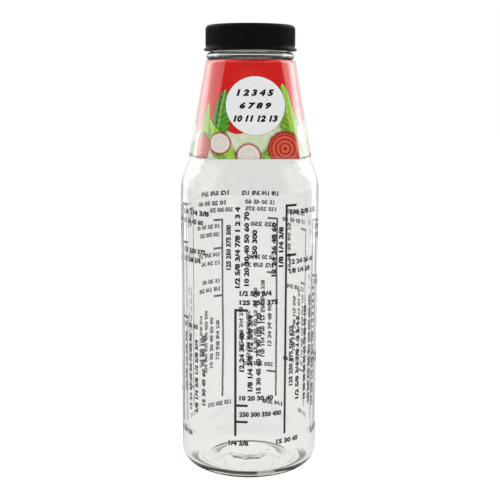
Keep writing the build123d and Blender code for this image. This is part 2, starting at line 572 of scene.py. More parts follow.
@SharedGroup(
    {"Color": WHITE},
    Vector=PLACE,
    Stalk=PLACE,
    Turn=0.0,
    Length=14.0,
    Width=4.0,
    Leaf=(0.13, 0.36, 0.02, 1.0),
    Under=WHITE,
)
def broad_leaf(nodes, place, stalk, turn, long, wide, leaf, under):
    """A pointed leaf with a pale midrib, side veins and a darker half."""
    offset = place.away(stalk)
    x, y, _ = nodes.value(
        "VectorRotate", rotation_type="Z_AXIS", Vector=offset, Angle=turn * -1.0
    ).split()
    along = x / long
    across = y - (along * 2.6).sine() * 0.55
    inside = nodes.math("MULTIPLY", along, 1.0 - along, clamp=True)
    swell = nodes.math("POWER", nodes.math("MULTIPLY", inside, 4.0, clamp=True), 0.75)
    half = swell * nodes.scaled(along, -0.45, 1.2) * wide
    half = half * nodes.scaled(offset.noise(0.5), 0.5, 0.75)
    aside = abs(across)
    room = half - aside
    mask = room.fade(0.0, 0.12)
    vein = ((x - aside) * 2.3).sine().fade(0.75, 1.0) * 0.5
    rib = aside.fade(0.34, 0.16)
    light = nodes.mix(0.6, leaf, (0.62, 0.80, 0.30, 1))
    dark = nodes.mix(0.55, leaf, (0.01, 0.07, 0.005, 1))
    mottle = offset.noise(0.8, 4.0)
    blade = nodes.mix(across.fade(-1.2, 1.6), leaf, dark)
    blade = nodes.mix(mottle.fade(0.5, 0.8), blade, light)
    blade = nodes.mix(nodes.math("MAXIMUM", vein, rib), blade, light)
    shade = room.fade(-1.3, 0.0) * inside.fade(0.0, 0.03) * 0.4
    return (nodes.mix(mask, nodes.mix(shade, under, (0.02, 0.05, 0.005, 1)), blade),)


@SharedGroup({"Color": WHITE}, Vector=PLACE, Waves=0.2, Red=WHITE, Cream=WHITE)
def printed_field(nodes, place, waves, red, cream):
    """The red field, which gives way to cream below a waving line."""
    x, y, _ = place.split()
    low = (x * waves).sine() * 3.0 + 14.0 - y
    warm = nodes.mix(place.noise(0.05, 1.0).fade(0.35, 0.75), red, (0.80, 0.020, 0.008, 1))
    pale = nodes.mix(place.noise(0.25, 3.0).fade(0.35, 0.7), cream, (0.80, 0.84, 0.68, 1))
    return (nodes.mix(low.fade(-0.15, 0.15), warm, pale),)


@SharedGroup({"Color": WHITE}, Vector=PLACE, Middle=PLACE, Radius=12.0, Under=WHITE)
def roundel(nodes, place, middle, radius, under):
    """A plain white disc over the print."""
    offset = place.away(middle)
    room = radius - offset.reach()
    white = nodes.mix(offset.noise(0.2), (0.93, 0.93, 0.935, 1), (0.96, 0.96, 0.96, 1))
    ground = nodes.mix(room.fade(-0.9, 0.0) * 0.25, under, (0.1, 0.02, 0.01, 1))
    return (nodes.mix(room.fade(-0.06, 0.06), ground, white),)


@SharedGroup({"Kept": 0.0}, Vector=PLACE, Inner=0.025, Outer=0.029, Gap=0.008)
def contact_shade(nodes, place, inner, outer, gap):
    """How much light the painted shadow keeps round the ring that the bottle stands on, paler in a
    gap right of the middle.
    """
    apart = place.reach()
    inside = apart.fade(inner, inner - 0.5 * MM)
    outside = apart.fade(outer, outer + 0.5 * MM)
    x, y, _ = place.split()
    behind = (y / apart).fade(-0.1, 0.35)
    # The painted shadow is paler in a gap right of the middle
    lit = abs(x - gap).fade(5 * MM, 3.5 * MM) * 0.45
    kept = nodes.math("MAXIMUM", nodes.math("MAXIMUM", inside, outside), behind)
    return (nodes.math("MAXIMUM", kept, lit),)


class Material(Nodes):
    """A new material, with its output."""

    def __init__(self, name):
        self.material = bpy.data.materials.new(name)
        self.material.use_nodes = True
        super().__init__(self.material.node_tree)
        self.tree.nodes.clear()
        self.output = self.add("OutputMaterial").inputs

    def place(self):
        """A place on the piece, in metres."""
        return self.value("TexCoord", out="Object")

    def group(self, shared, **inputs):
        """The outputs of a shared group."""
        return self.add("Group", node_tree=shared.tree(), **inputs).outputs

    def grain(self, place, size, roughness):
        """The outputs of a fine grain."""
        return self.group(fine_grain, Vector=place, Size=size, Roughness=roughness)

    def rubbed(self, place, size, wear):
        """Where the marked edges show wear and a painted highlight."""
        edge = self.value("Attribute", out="Fac", attribute_name="rub_and_highlight")
        return self.group(worn_edge, Vector=place, Edge=edge, Size=size, Wear=wear)["Mask"]

    def principled(self, height, depth, **inputs):
        """A Principled shader on the surface, with bumps of a depth."""
        normal = self.value("Bump", Distance=depth, Height=height)
        shader = self.add("BsdfPrincipled", Normal=normal, **inputs).outputs[0]
        self.feed(self.output["Surface"], shader)
        return shader


def clear_glass(looks):
    """Flint glass, pale green where it is thick, which lets lamps through to what it holds."""
    glass = Material("clear_glass")
    place = glass.place()
    skin = glass.grain(place, looks.ripple, 0.0)
    patch = glass.group(
        cooled_patch,
        Vector=place,
        Radius=looks.patch_radius,
        Top=looks.patch_top,
        Size=looks.patch_swirl,
    )
    height = glass.scaled(patch["Height"], looks.patch_strength, skin["Height"])
    body = glass.principled(
        height,
        0.03 * MM,
        Base_Color=WHITE,
        Roughness=0.0,
        IOR=1.52,
        Transmission_Weight=1.0,
    )
    clear = glass.add("BsdfTransparent", Color=(0.88, 0.9, 0.89, 1)).outputs[0]
    shadow = glass.value("LightPath", out="Is Shadow Ray")
    glass.feed(glass.output["Surface"], glass.value("MixShader", shadow, body, clear))
    soak = glass.value("VolumeAbsorption", Color=(*looks.tint, 1), Density=looks.absorption)
    glass.feed(glass.output["Volume"], soak)
    return glass.material


def black_enamel(looks):
    """Fired enamel with a slightly uneven gloss."""
    enamel = Material("black_enamel")
    skin = enamel.grain(enamel.place(), 0.25 * MM, 0.25)
    enamel.principled(
        skin["Height"], 0.02 * MM, Base_Color=(*looks.enamel, 1), Roughness=skin["Roughness"]
    )
    return enamel.material


def black_plastic(looks):
    """Moulded black plastic with a fine satin grain, lighter black along its edges, ribs and foot
    band for wear and painted highlight.
    """
    plastic = Material("black_plastic")
    place = plastic.place()
    skin = plastic.grain(place, 0.35 * MM, 0.42)
    worn_and_highlit = plastic.rubbed(place, 0.8 * MM, 0.3)
    plastic.principled(
        skin["Height"],
        0.03 * MM,
        # Lighter black where edges are marked: wear and painted highlight
        Base_Color=plastic.mix(worn_and_highlit, (*looks.plastic, 1), (0.009, 0.009, 0.0095, 1)),
        Roughness=skin["Roughness"],
        Specular_IOR_Level=0.08,
    )
    return plastic.material


def white_foam(looks):
    """Closed-cell foam with a faint cell pattern."""
    foam = Material("white_foam")
    place = foam.place()
    skin = foam.grain(place, 0.6 * MM, 0.75)
    cells = foam.value("TexVoronoi", out="Distance", Vector=place, Scale=looks.cells)
    foam.principled(
        cells,
        0.05 * MM,
        Base_Color=foam.mix(cells, (*looks.foam, 1), (0.66, 0.66, 0.62, 1)),
        Roughness=skin["Roughness"],
    )
    return foam.material


LEAVES = (
    # stalk (mm), turn (degrees), length, half width, tone
    ((-2.0, -3.5), 150, 16, 3.4, "mid"),
    ((-27.0, -2.0), 84, 27, 4.6, "bright"),
    ((-17.0, 5.0), 79, 26, 4.6, "mid"),
    ((-9.0, -3.0), 122, 24, 4.4, "bright"),
    ((27.0, -2.0), 96, 25, 4.4, "mid"),
    ((8.0, -3.0), 55, 25, 4.4, "mid"),
    ((18.5, 4.0), 101, 30, 4.6, "bright"),
    ((0.5, -4.0), 35, 20, 3.6, "bright"),
)
SLICES = (
    # middle (mm), radius, rim, flesh, how strong its rings are
    ((-26.5, 5.0), 6.4, (0.36, 0.002, 0.006), (0.80, 0.14, 0.06), 0.85),
    ((-15.0, 7.0), 4.8, (0.55, 0.01, 0.05), (0.86, 0.84, 0.76), 0.0),
    ((13.5, 4.6), 7.6, (0.36, 0.002, 0.006), (0.80, 0.14, 0.06), 0.85),
    ((-2.5, 1.5), 5.4, (0.55, 0.01, 0.05), (0.86, 0.84, 0.76), 0.0),
    ((25.0, 11.0), 4.8, (0.55, 0.01, 0.05), (0.86, 0.84, 0.76), 0.0),
)
LEAF_TONES = {"mid": (0.045, 0.30, 0.006, 1), "bright": (0.33, 0.66, 0.015, 1)}
# How often the leaves and slices come, and the red field waves, on the way round the sleeve
REPEATS_ROUND = 3
WAVES_ROUND = 7


def printed_card(looks):
    """Glossy printed card: a red field over leaves and slices, with a plain white roundel."""
    card = Material("printed_card")
    sheet = card.value("UVMap", uv_map="print")
    span = looks.print_span / MM
    whole = card.value(
        "Mapping", Vector=sheet, Location=(-span / 2, 0, 0), Scale=(span, span, 1)
    )
    repeat = looks.print_repeat / MM
    high, low = (repeat / 2, span, 1), (-repeat / 2, -span, -1)
    place = card.vector("WRAP", whole, high, low)
    picture = card.group(
        printed_field,
        Vector=whole,
        Waves=FULL_TURN * WAVES_ROUND / (REPEATS_ROUND * repeat),
        Red=(*looks.red, 1),
        Cream=(*looks.cream, 1),
    )["Color"]
    for stalk, turn, long, wide, tone in LEAVES:
        picture = card.group(
            broad_leaf,
            Vector=place,
            Stalk=(*stalk, 0),
            Turn=radians(turn),
            Length=long,
            Width=wide,
            Leaf=LEAF_TONES[tone],
            Under=picture,
        )["Color"]
    for middle, radius, rim, flesh, rings in SLICES:
        picture = card.group(
            root_slice,
            Vector=place,
            Middle=(*middle, 0),
            Radius=radius,
            Rim=(*rim, 1),
            Flesh=(*flesh, 1),
            Rings=rings,
            Under=picture,
        )["Color"]
    picture = card.group(
        roundel,
        Vector=whole,
        Middle=(looks.roundel_offset / MM, looks.roundel_height / MM, 0),
        Radius=looks.roundel_radius / MM,
        Under=picture,
    )["Color"]
    # Pale card at the creases and cut edges: cracked ink and painted highlight
    worn_and_highlit = card.mix(card.rubbed(whole, 1.3, 0.2), picture, (0.82, 0.74, 0.70, 1))
    skin = card.grain(whole, 0.9, 0.28)
    card.principled(
        skin["Height"],
        0.012 * MM,
        Base_Color=worn_and_highlit,
        Roughness=skin["Roughness"],
        Specular_IOR_Level=0.6,
        Coat_Weight=1.0,
        Coat_Roughness=0.15,
    )
    return card.material


def raw_card():
    """The unprinted side and the cut edges of the card."""
    card = Material("raw_card")
    skin = card.grain(card.place(), 0.5 * MM, 0.85)
    card.principled(
        skin["Height"],
        0.03 * MM,
        Base_Color=card.mix(skin["Height"], (0.72, 0.71, 0.67, 1), (0.84, 0.83, 0.80, 1)),
        Roughness=skin["Roughness"],
    )
    return card.material


class DRESSING_OT_glass(Operator):
    """Turn the glass bottle, with its thread, its stippled foot and its uneven inner wall"""

    bl_idname = "dressing_bottle.glass"
    bl_label = "Glass bottle"

    turn_steps = 192
    thread_turns = (0.05, 1.25)
    wave_across = 45
    wave_up = 22

    def execute(self, context):
        settings = context.scene.bottle_glass
        mesh = bmesh.new()
        self.outline(mesh, settings)
        turn_round(mesh, self.turn_steps)
        self.raise_thread(mesh, settings)
        self.dent_foot(mesh, settings)
        self.waver(mesh, settings)
        glass = clear_glass(settings)
        piece = finish_piece(mesh, "bottle_glass", "bottle", "clear_glass", glass)
        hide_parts("glass_bottle")
        return {"FINISHED"}

    def outline(self, mesh, sizes):
        """The bottle's outline, up the outside, over the rim and down the inside."""
        body = GLASS_BOX[1].x
        rim = GLASS_BOX[1].z
        half_turn = tan(sizes.taper_angle / 2)
        bore = sizes.neck_radius - sizes.wall
        bearing = body - sizes.heel_radius
        shoulder = sizes.shoulder_height + sizes.shoulder_radius * half_turn
        neck = shoulder + (body - sizes.neck_radius) / tan(sizes.taper_angle)
        neck_top = neck + sizes.neck_blend_radius * half_turn
        bead_foot = neck_top + sizes.neck_straight
        self.bead_top = bead_foot + sizes.bead_width
        bead_round = sizes.bead_width / 2 - 0.05 * MM
        fine = 0.3 * MM
        inner_shoulder = sizes.shoulder_height + (sizes.shoulder_radius - sizes.wall) * half_turn
        inner_neck = neck_top - (sizes.neck_blend_radius + sizes.wall) * half_turn
        corners = [
            (sizes.push_up_radius, sizes.push_up_depth, sizes.push_up_rounding, 4, 3),
            (bearing - sizes.bearing_width, 0, sizes.bearing_rounding, 4, 2),
            (body, 0, sizes.heel_radius, 16, 4),
            (body, shoulder, sizes.shoulder_radius, 10, 30),
            (sizes.neck_radius, neck, sizes.neck_blend_radius, 10, 6),
            (sizes.neck_radius, bead_foot, fine, 3, 3),
            (sizes.bead_radius, bead_foot, bead_round, 8, 1),
            (sizes.bead_radius, self.bead_top, bead_round, 8, 1),
            (sizes.finish_radius, self.bead_top, fine, 3, 1),
            (sizes.finish_radius, rim, sizes.rim_rounding, 6, 40),
            (bore, rim, sizes.rim_rounding, 6, 1),
            (bore, inner_neck, sizes.neck_blend_radius + sizes.wall, 10, 8),
            (body - sizes.wall, inner_shoulder, sizes.shoulder_radius - sizes.wall, 10, 6),
            (body - sizes.wall, sizes.floor_height, sizes.floor_corner, 14, 40),
        ]
        end = (0, sizes.floor_height + sizes.floor_dish, 8)
        turned_outline(mesh, (0, sizes.push_up_depth), corners, end)

    def raise_thread(self, mesh, sizes):
        """Raises the thread out of the finish, and the mould seams out of the body."""
        base = LINER_BOX[0].z - sizes.thread_drop
        for vert in mesh.verts:
            out, height = vert.co.xy.length, vert.co.z
            if abs(out - sizes.finish_radius) < NEAR and height > self.bead_top:
                rise = thread_rise(
                    vert.co, sizes.thread_pitch, base, self.thread_turns, sizes.thread_width
                )
                vert.co.xy *= 1 + rise * sizes.thread_depth / out
            elif abs(vert.co.y) < NEAR and out > sizes.bead_radius and height > sizes.heel_radius:
                outside = out > self.inner_reach(height, sizes) + sizes.wall / 2
                vert.co.xy *= 1 + outside * sizes.seam / out

    def inner_reach(self, height, sizes):
        """The inner wall's radius, near enough to tell the outside from the inside."""
        body = GLASS_BOX[1].x - sizes.wall
        return body - max(0, height - sizes.shoulder_height - 5 * MM) * tan(sizes.taper_angle)

    def dent_foot(self, mesh, sizes):
        """Presses small dents into the bearing ring, as bottle makers do for grip."""
        inner = GLASS_BOX[1].x - sizes.heel_radius - sizes.bearing_width
        for vert in mesh.verts:
            out = vert.co.xy.length
            low = vert.co.z < NEAR
            if low and inner + 0.8 * MM < out < inner + sizes.bearing_width - 0.5 * MM:
                step = round(atan2(vert.co.y, vert.co.x) / FULL_TURN * self.turn_steps)
                if step % 3 == 0:
                    vert.co.z += sizes.stipple

    def waver(self, mesh, sizes):
        """Makes the inner wall slightly uneven, as blown glass is."""
        inner = GLASS_BOX[1].x - sizes.wall
        for vert in mesh.verts:
            out = vert.co.xy.length
            if abs(out - inner) < 0.05 * MM and vert.co.z < sizes.shoulder_height:
                place = Vector((*vert.co.xy * self.wave_across, vert.co.z * self.wave_up))
                fade = ease((vert.co.z - 4 * sizes.floor_corner) / (10 * MM))
                vert.co.xy *= 1 + noise.noise(place) * sizes.waviness * fade / out


def counted(first, last, step):
    """Whole numbers, written out."""
    return [str(number) for number in range(first, last, step)]


EIGHTHS = "1/8 1/4 3/8 1/2 5/8 3/4 7/8 1 2 3 4 5 6 7 8".split()
SERIES = (
    EIGHTHS,
    counted(15, 900, 15),
    counted(125, 4000, 125),
    EIGHTHS[3:],
    counted(10, 900, 10),
    counted(250, 4000, 50),
    EIGHTHS[1:],
    counted(12, 900, 12),
)
SCALES = (
    # place round the bottle, top, ticks as (height, rows, label length), foot label, upright rows
    # as (place, foot, top)
    (-75.0, 125.6, ((125.6, -2, 19), (108.2, -2, 17), (73.5, -1, 12)), 14.0,
     ((6.0, 38, 66), (14.0, 30, 66), (22.5, 30, 64), (31.0, 34, 67))),
    (-15.0, 80.6, ((80.6, 2, 17.6), (36.9, 1, 15.5), (29.3, 1, 19.5)), 9.2,
     ((5.0, 52, 70), (11.8, 43, 78), (18.5, 42, 79),
      (-5.7, 98, 118), (1.6, 90, 126), (8.7, 91, 124), (15.0, 103, 116))),
    (26.3, 126.7, ((126.7, -1, 19), (104.6, -2, 17)), 12.1,
     ((5.6, 44, 72), (12.6, 37, 76), (21.6, 36, 80), (28.6, 33, 84), (35.6, 31, 88),
      (-10.9, 95, 119), (-4.6, 99, 117))),
    (66.8, 118.0, ((118.0, -2, 17), (92.0, -1, 16), (55.0, -1, 14)), 13.0,
     ((17.0, 60, 88), (24.0, 24, 50), (31.0, 28, 52))),
    (107.9, 110.5, ((110.5, 2, 18), (84.0, -1, 15), (40.0, 1, 17)), 10.0,
     ((6.0, 46, 78), (13.0, 44, 80), (20.0, 48, 76), (27.0, 88, 112))),
    (149.0, 113.9, ((113.9, -1, 13), (86.5, 2, 18), (35.5, 1, 17)), 12.0,
     ((7.0, 48, 70), (14.0, 42, 82), (21.0, 44, 78), (28.0, 40, 66), (35.0, 46, 68))),
    (202.6, 113.4, ((113.4, -2, 17), (99.1, -2, 16), (75.0, 2, 15)), 14.5,
     ((6.0, 42, 62), (13.0, 38, 64), (20.0, 36, 68), (27.0, 40, 66))),
    (244.0, 121.0, ((121.0, -2, 17), (96.0, 1, 15), (33.0, 1, 16)), 11.0,
     ((6.0, 44, 82), (13.0, 40, 84), (20.0, 46, 70), (27.0, 104, 124))),
)
HIGH_ROWS = (
    # place round the bottle, height and length of the level rows over the scales
    (148.0, 124.5, 20.0), (152.0, 120.4, 16.0), (150.0, 116.8, 17.0),
    (196.0, 124.8, 18.0), (199.0, 120.2, 19.0), (192.0, 116.6, 14.0),
)


class DRESSING_OT_scales(Operator):
    """Print the eight scales in black enamel, each with its line, ticks and rows of digits"""

    bl_idname = "dressing_bottle.scales"
    bl_label = "Printed scales"

    row_spacing = 1.72
    second_row_share = 0.82
    foot_row_drop = 1.9
    foot_row_shift = 0.35

    def execute(self, context):
        settings = context.scene.bottle_scales
        enamel = black_enamel(settings)
        self.reach = GLASS_BOX[1].x + settings.film
        self.row_count = 0
        for number, (place, *scale) in enumerate(SCALES, start=1):
            mesh = bmesh.new()
            self.scale(mesh, settings, *scale)
            self.wrap(mesh, radians(place))
            finish_piece(mesh, f"scale_print_{number}", "bottle", "black_enamel", enamel)
        mesh = bmesh.new()
        for place, height, long in HIGH_ROWS:
            self.row(mesh, settings, radians(place) * self.reach, height * MM, long * MM)
        self.wrap(mesh, 0)
        finish_piece(mesh, "scale_print_high", "bottle", "black_enamel", enamel)
        return {"FINISHED"}

    def scale(self, mesh, sizes, top, ticks, foot_length, uprights):
        """One scale, laid flat with its line at the origin."""
        line = sizes.line_width
        gap, drop = 1.6 * line, 2.2 * line + sizes.digit_height
        spacing = self.row_spacing * sizes.digit_height
        self.bar(mesh, -line / 2, line / 2, sizes.foot, top * MM)
        for height, rows, long in ticks:
            level = height * MM
            self.bar(mesh, line / 2, sizes.tick_length, level - line, level)
            for row in range(abs(rows)):
                lift = gap + row * spacing if rows > 0 else -drop - row * spacing
                share = 1 if row == 0 else self.second_row_share
                self.row(mesh, sizes, gap, level + lift, long * share * MM)
        foot = sizes.foot - self.foot_row_drop * sizes.digit_height
        self.row(mesh, sizes, -self.foot_row_shift * foot_length * MM, foot, foot_length * MM)
        for aside, low, high in uprights:
            across = radians(aside) * self.reach + sizes.digit_height / 2
            self.row(mesh, sizes, across, low * MM, (high - low) * MM, upright=True)

    def bar(self, mesh, left, right, low, high):
        """A flat bar, cut fine enough across to follow the glass."""
        across = max(1, ceil((right - left) / (1.5 * MM)))
        up = max(1, ceil((high - low) / (20 * MM)))
        made = bmesh.ops.create_grid(mesh, x_segments=across, y_segments=up, size=0.5)
        middle = Vector(((left + right) / 2, 0, (low + high) / 2))
        flat = Matrix.Rotation(pi / 2, 4, "X") @ Matrix.Diagonal((right - left, high - low, 1, 1))
        bmesh.ops.transform(mesh, verts=made["verts"], matrix=Matrix.Translation(middle) @ flat)

    def row(self, mesh, sizes, left, foot, long, upright=False):
        """A row of digits, along the bottle's round or up its side."""
        series = SERIES[self.row_count % len(SERIES)]
        self.row_count += 1
        text = count_up(series, round(long / sizes.digit_pitch))
        data = digits(text, sizes.digit_height, long, sizes.boldness)
        data.transform(Matrix.Rotation(pi / 2 if upright else 0, 4, "Z"))
        data.transform(Matrix.Rotation(pi / 2, 4, "X"))
        data.transform(Matrix.Translation((left, 0, foot)))
        mesh.from_mesh(data)
        bpy.data.meshes.remove(data)

    def wrap(self, mesh, place):
        """Bends the flat print round the glass."""
        for vert in mesh.verts:
            turn = place + vert.co.x / self.reach
            vert.co = Vector((self.reach * sin(turn), -self.reach * cos(turn), vert.co.z))


class DRESSING_OT_cap(Operator):
    """Turn the ribbed screw cap, with its inner thread, and the liner in it"""

    bl_idname = "dressing_bottle.cap"
    bl_label = "Screw cap and liner"

    steps_per_rib = 6
    liner_steps = 128
    thread_turns = (0.5, 1.6)
    # Painted highlight, as lighter black, on the smooth band at the cap's foot
    band_rub = 0.9

    def execute(self, context):
        settings = context.scene.bottle_cap
        glass = context.scene.bottle_glass
        self.cap(settings, glass, black_plastic(settings))
        self.liner(settings, glass, white_foam(settings))
        return {"FINISHED"}

    def cap(self, sizes, glass, plastic):
        """The cap: a ribbed skirt over a smooth band."""
        foot, top = CAP_BOX[0].z, CAP_BOX[1].z
        band = CAP_BOX[1].x
        ceiling = top - sizes.top_thickness
        ridge_top = LINER_BOX[0].z - sizes.ridge_drop
        ridge_foot = ridge_top - sizes.ridge_height
        corners = [
            (sizes.bore_radius, ceiling, 0.3 * MM, 2, 3),
            (sizes.bore_radius, ridge_top, 0, 0, 1),
            (sizes.ridge_radius, ridge_top - 0.1 * MM, 0.1 * MM, 2, 1),
            (sizes.ridge_radius, ridge_foot, 0.1 * MM, 2, 1),
            (sizes.bore_radius, ridge_foot - 0.3 * MM, 0, 0, 1),
            (sizes.bore_radius, foot, 0.3 * MM, 2, 30),
            (band, foot, 0.4 * MM, 4, 1),
            (band, foot + sizes.band_height, 0.4 * MM, 4, 1),
            (sizes.skirt_radius, foot + sizes.band_height, 0.25 * MM, 3, 1),
            (sizes.skirt_radius, top, sizes.edge_rounding, 8, 8),
            (sizes.recess_radius, top, 0.15 * MM, 2, 1),
            (sizes.recess_radius - 0.4 * MM, top - sizes.recess_depth, 0.3 * MM, 3, 1),
        ]
        mesh = bmesh.new()
        turned_outline(mesh, (0, ceiling), corners, (0, top - sizes.recess_depth, 3))
        turn_round(mesh, sizes.rib_count * self.steps_per_rib)
        base = LINER_BOX[0].z - glass.thread_drop - glass.thread_pitch / 2
        rib_foot = foot + sizes.band_height + 0.2 * MM
        rib_top = top - sizes.edge_rounding
        rib_end = top - 0.3 * sizes.edge_rounding
        rib_inner = sizes.recess_radius + MM
        rub_and_highlight = mesh.verts.layers.float.new("rub_and_highlight")
        for vert in mesh.verts:
            out, height = vert.co.xy.length, vert.co.z
            if out < 0.1 * MM:
                continue
            if rib_foot < height < rib_end and out > rib_inner:
                turn = atan2(vert.co.y, vert.co.x) * sizes.rib_count
                fade_in = ease((height - rib_foot) / (0.5 * MM))
                fade_out = ease((rib_top + 0.7 * MM - height) / MM)
                rise = fade_in * fade_out * (0.5 + 0.5 * cos(turn))
                vert.co.xy *= 1 + rise * sizes.rib_depth / out
                # Lighter on rib crests and the top edge: wear and painted highlight
                vert[rub_and_highlight] = 0.5 * rise + 0.6 * ease((height - rib_top) / (0.5 * MM))
            elif abs(out - sizes.bore_radius) < NEAR and height < ridge_foot:
                rise = thread_rise(
                    vert.co, glass.thread_pitch, base, self.thread_turns, sizes.thread_width
                )
                vert.co.xy *= 1 - rise * sizes.thread_depth / out
            # The smooth band at the foot gets a painted highlight
            if out > band - 0.35 * MM:
                vert[rub_and_highlight] = self.band_rub
        piece = finish_piece(mesh, "cap_shell", "cap", "black_plastic", plastic)
        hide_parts("screw_cap")

    def liner(self, sizes, glass, foam):
        """The foam liner, with the ring that the glass rim leaves in it."""
        low, high = LINER_BOX[0].z, LINER_BOX[1].z
        reach = LINER_BOX[1].x
        rim = glass.finish_radius
        bore = glass.neck_radius - glass.wall
        corners = [
            (bore + 0.2 * MM, low, 0.2 * MM, 2, 3),
            (bore + 0.6 * MM, low + sizes.imprint, 0.2 * MM, 2, 1),
            (rim - 0.5 * MM, low + sizes.imprint, 0.2 * MM, 2, 1),
            (rim - 0.1 * MM, low, 0.2 * MM, 2, 1),
            (reach, low, 0.15 * MM, 3, 1),
            (reach, high, 0.15 * MM, 3, 1),
        ]
        mesh = bmesh.new()
        turned_outline(mesh, (0, low), corners, (0, high, 4))
        turn_round(mesh, self.liner_steps)
        piece = finish_piece(mesh, "liner_disc", "liner", "white_foam", foam)
        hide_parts("cap_liner")


class DRESSING_OT_sleeve(Operator):
    """Fold the card sleeve, with its lap, and print the digits in its roundel"""

    bl_idname = "dressing_bottle.sleeve"
    bl_label = "Card sleeve"

    panel_cuts = 16
    side_steps = 40
    height_cuts = 23
    waves = 110
    # How strongly creases and cut edges show wear and a painted highlight
    crease_rub = 0.8
    edge_rub = 0.9
    rows = (("1 2 3 4 5", 16.5), ("6 7 8 9", 14.0), ("10 11 12 13", 19.5))

    def execute(self, context):
        sizes = context.scene.bottle_sleeve
        self.foot, self.top = SLEEVE_BOX[0].z, SLEEVE_BOX[1].z
        self.slant = (sizes.foot_reach - sizes.front_top_reach) / (self.top - self.foot)
        mesh = bmesh.new()
        low = self.section(mesh, sizes, self.foot)
        high = self.section(mesh, sizes, self.top)
        bmesh.ops.bridge_loops(mesh, edges=low + high)
        bmesh.ops.recalc_face_normals(mesh, faces=mesh.faces)
        self.lay_out_print(mesh, sizes)
        self.divide(mesh, sizes)
        self.crease(mesh, sizes)
        self.wave(mesh, sizes)
        self.lap(mesh, sizes)
        self.thicken(mesh, sizes)
        cards = printed_card(sizes), raw_card()
        piece = finish_piece(mesh, "sleeve_card", "sleeve", "printed_card", *cards)
        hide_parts("card_sleeve")
        self.roundel_digits(sizes)
        return {"FINISHED"}

    def measures(self, sizes, height):
        """What the card measures at its foot or at its top.

        These are half the front's width, how far a side and the front are from the axis, and the
        radius of a bowed side.
        """
        if height < (self.foot + self.top) / 2:
            width, side, reach = sizes.front_foot_width, sizes.foot_reach, sizes.foot_reach
        else:
            width, side, reach = sizes.front_top_width, sizes.side_top_reach, sizes.front_top_reach
        half = width / 2
        bulge = side - half
        return half, side, reach, (reach**2 + bulge**2) / (2 * bulge)

    def section(self, mesh, sizes, height):
        """The sleeve's outline at one height, as a closed loop of edges."""
        before = set(mesh.edges)
        half, side, reach, radius = self.measures(sizes, height)
        turn = 2 * asin(reach / radius)
        pen = Pen(mesh, (-half, -reach, height), normal=(0, 0, 1))
        first = pen.tip
        for way in (1, -1):
            pen.line_to((way * half, -way * reach, height), self.panel_cuts)
            pen.arc((way * (side - radius), 0, height), turn, self.side_steps)
        bmesh.ops.remove_doubles(mesh, verts=[first, pen.tip], dist=NEAR)
        return [edge for edge in mesh.edges if edge not in before]

    def along(self, place, sizes):
        """How far the print is from its middle at a place, along the card's foot or top.

        On the front it is a plain length. Past the creases the print fans out with the card, so
        that its two ends meet behind.
        """
        half, side, reach, radius = self.measures(sizes, place.z)
        out = abs(place.x)
        if place.y < NEAR - reach:
            return out
        sweep = asin(reach / radius)
        bow = 2 * sweep * radius
        past = radius * (sweep + atan2(place.y, out - side + radius))
        if place.y > reach - NEAR:
            past = bow + half - out
        return half + past * (REPEATS_ROUND * sizes.print_repeat / 2 - half) / (bow + half)

    def lay_out_print(self, mesh, sizes):
        """Gives the card its print's coordinates, in lengths along and up the card."""
        layer = mesh.loops.layers.uv.new("print")
        for face in mesh.faces:
            way = 1 if face.calc_center_median().x > 0 else -1
            for loop in face.loops:
                place = loop.vert.co
                up = (place.z - self.foot) * hypot(1, self.slant)
                along = way * self.along(place, sizes)
                loop[layer].uv = (0.5 + along / sizes.print_span, up / sizes.print_span)

    def divide(self, mesh, sizes):
        """Cuts the card into rows."""
        uprights = []
        for edge in mesh.edges:
            low, high = sorted(vert.co.z for vert in edge.verts)
            if low < high - NEAR:
                uprights.append(edge)
        bmesh.ops.subdivide_edges(mesh, edges=uprights, cuts=self.height_cuts, use_grid_fill=True)

    def crease(self, mesh, sizes):
        """Rounds the four creases and marks them, and the cut edges at the foot and top, for wear
        and painted highlight.
        """
        rub_and_highlight = mesh.verts.layers.float.new("rub_and_highlight")
        creases = []
        for edge in mesh.edges:
            if edge.is_manifold and edge.calc_face_angle() > radians(20):
                creases.append(edge)
        made = bmesh.ops.bevel(
            mesh,
            geom=creases,
            offset=sizes.crease,
            offset_type="OFFSET",
            segments=3,
            profile=0.5,
            affect="EDGES",
            material=-1,
        )
        for vert in made["verts"]:
            vert[rub_and_highlight] = self.crease_rub
        for vert in mesh.verts:
            if min(vert.co.z - self.foot, self.top - vert.co.z) < 0.1 * MM:
                vert[rub_and_highlight] = self.edge_rub

    def wave(self, mesh, sizes):
        """Makes the bowed sides slightly uneven."""
        narrowing = sizes.front_foot_width - sizes.front_top_width
        for vert in mesh.verts:
            up = (vert.co.z - self.foot) / (self.top - self.foot)
            half = (sizes.front_foot_width - narrowing * up) / 2
            share = ease((abs(vert.co.x) - half - MM) / (3 * MM))
            place = Vector((*vert.co.xy, vert.co.z / 2)) * self.waves
            vert.co.xy *= 1 + noise.noise(place) * sizes.wave * share / vert.co.xy.length

    def lap(self, mesh, sizes):
        """Lays the glued lap over the right side, fading into the card behind."""
        faces = []
        for face in mesh.faces:
            middle = face.calc_center_median()
            if middle.x > 0 and -0.2 * MM < middle.y < sizes.lap_width:
                faces.append(face)
        made = bmesh.ops.duplicate(mesh, geom=faces)
        for vert in vertices(made["geom"]):
            fade = ease((sizes.lap_width - vert.co.y) / (2.5 * MM))
            lift = sizes.card * 0.97 * fade + 0.01 * MM
            vert.co.xy *= 1 + lift / vert.co.xy.length

    def thicken(self, mesh, sizes):
        """Gives the card its thickness, inwards, with its back and edges unprinted."""
        printed = set(mesh.faces)
        bmesh.ops.solidify(mesh, geom=mesh.faces[:], thickness=sizes.card)
        for face in mesh.faces:
            if face not in printed:
                face.material_index = 1

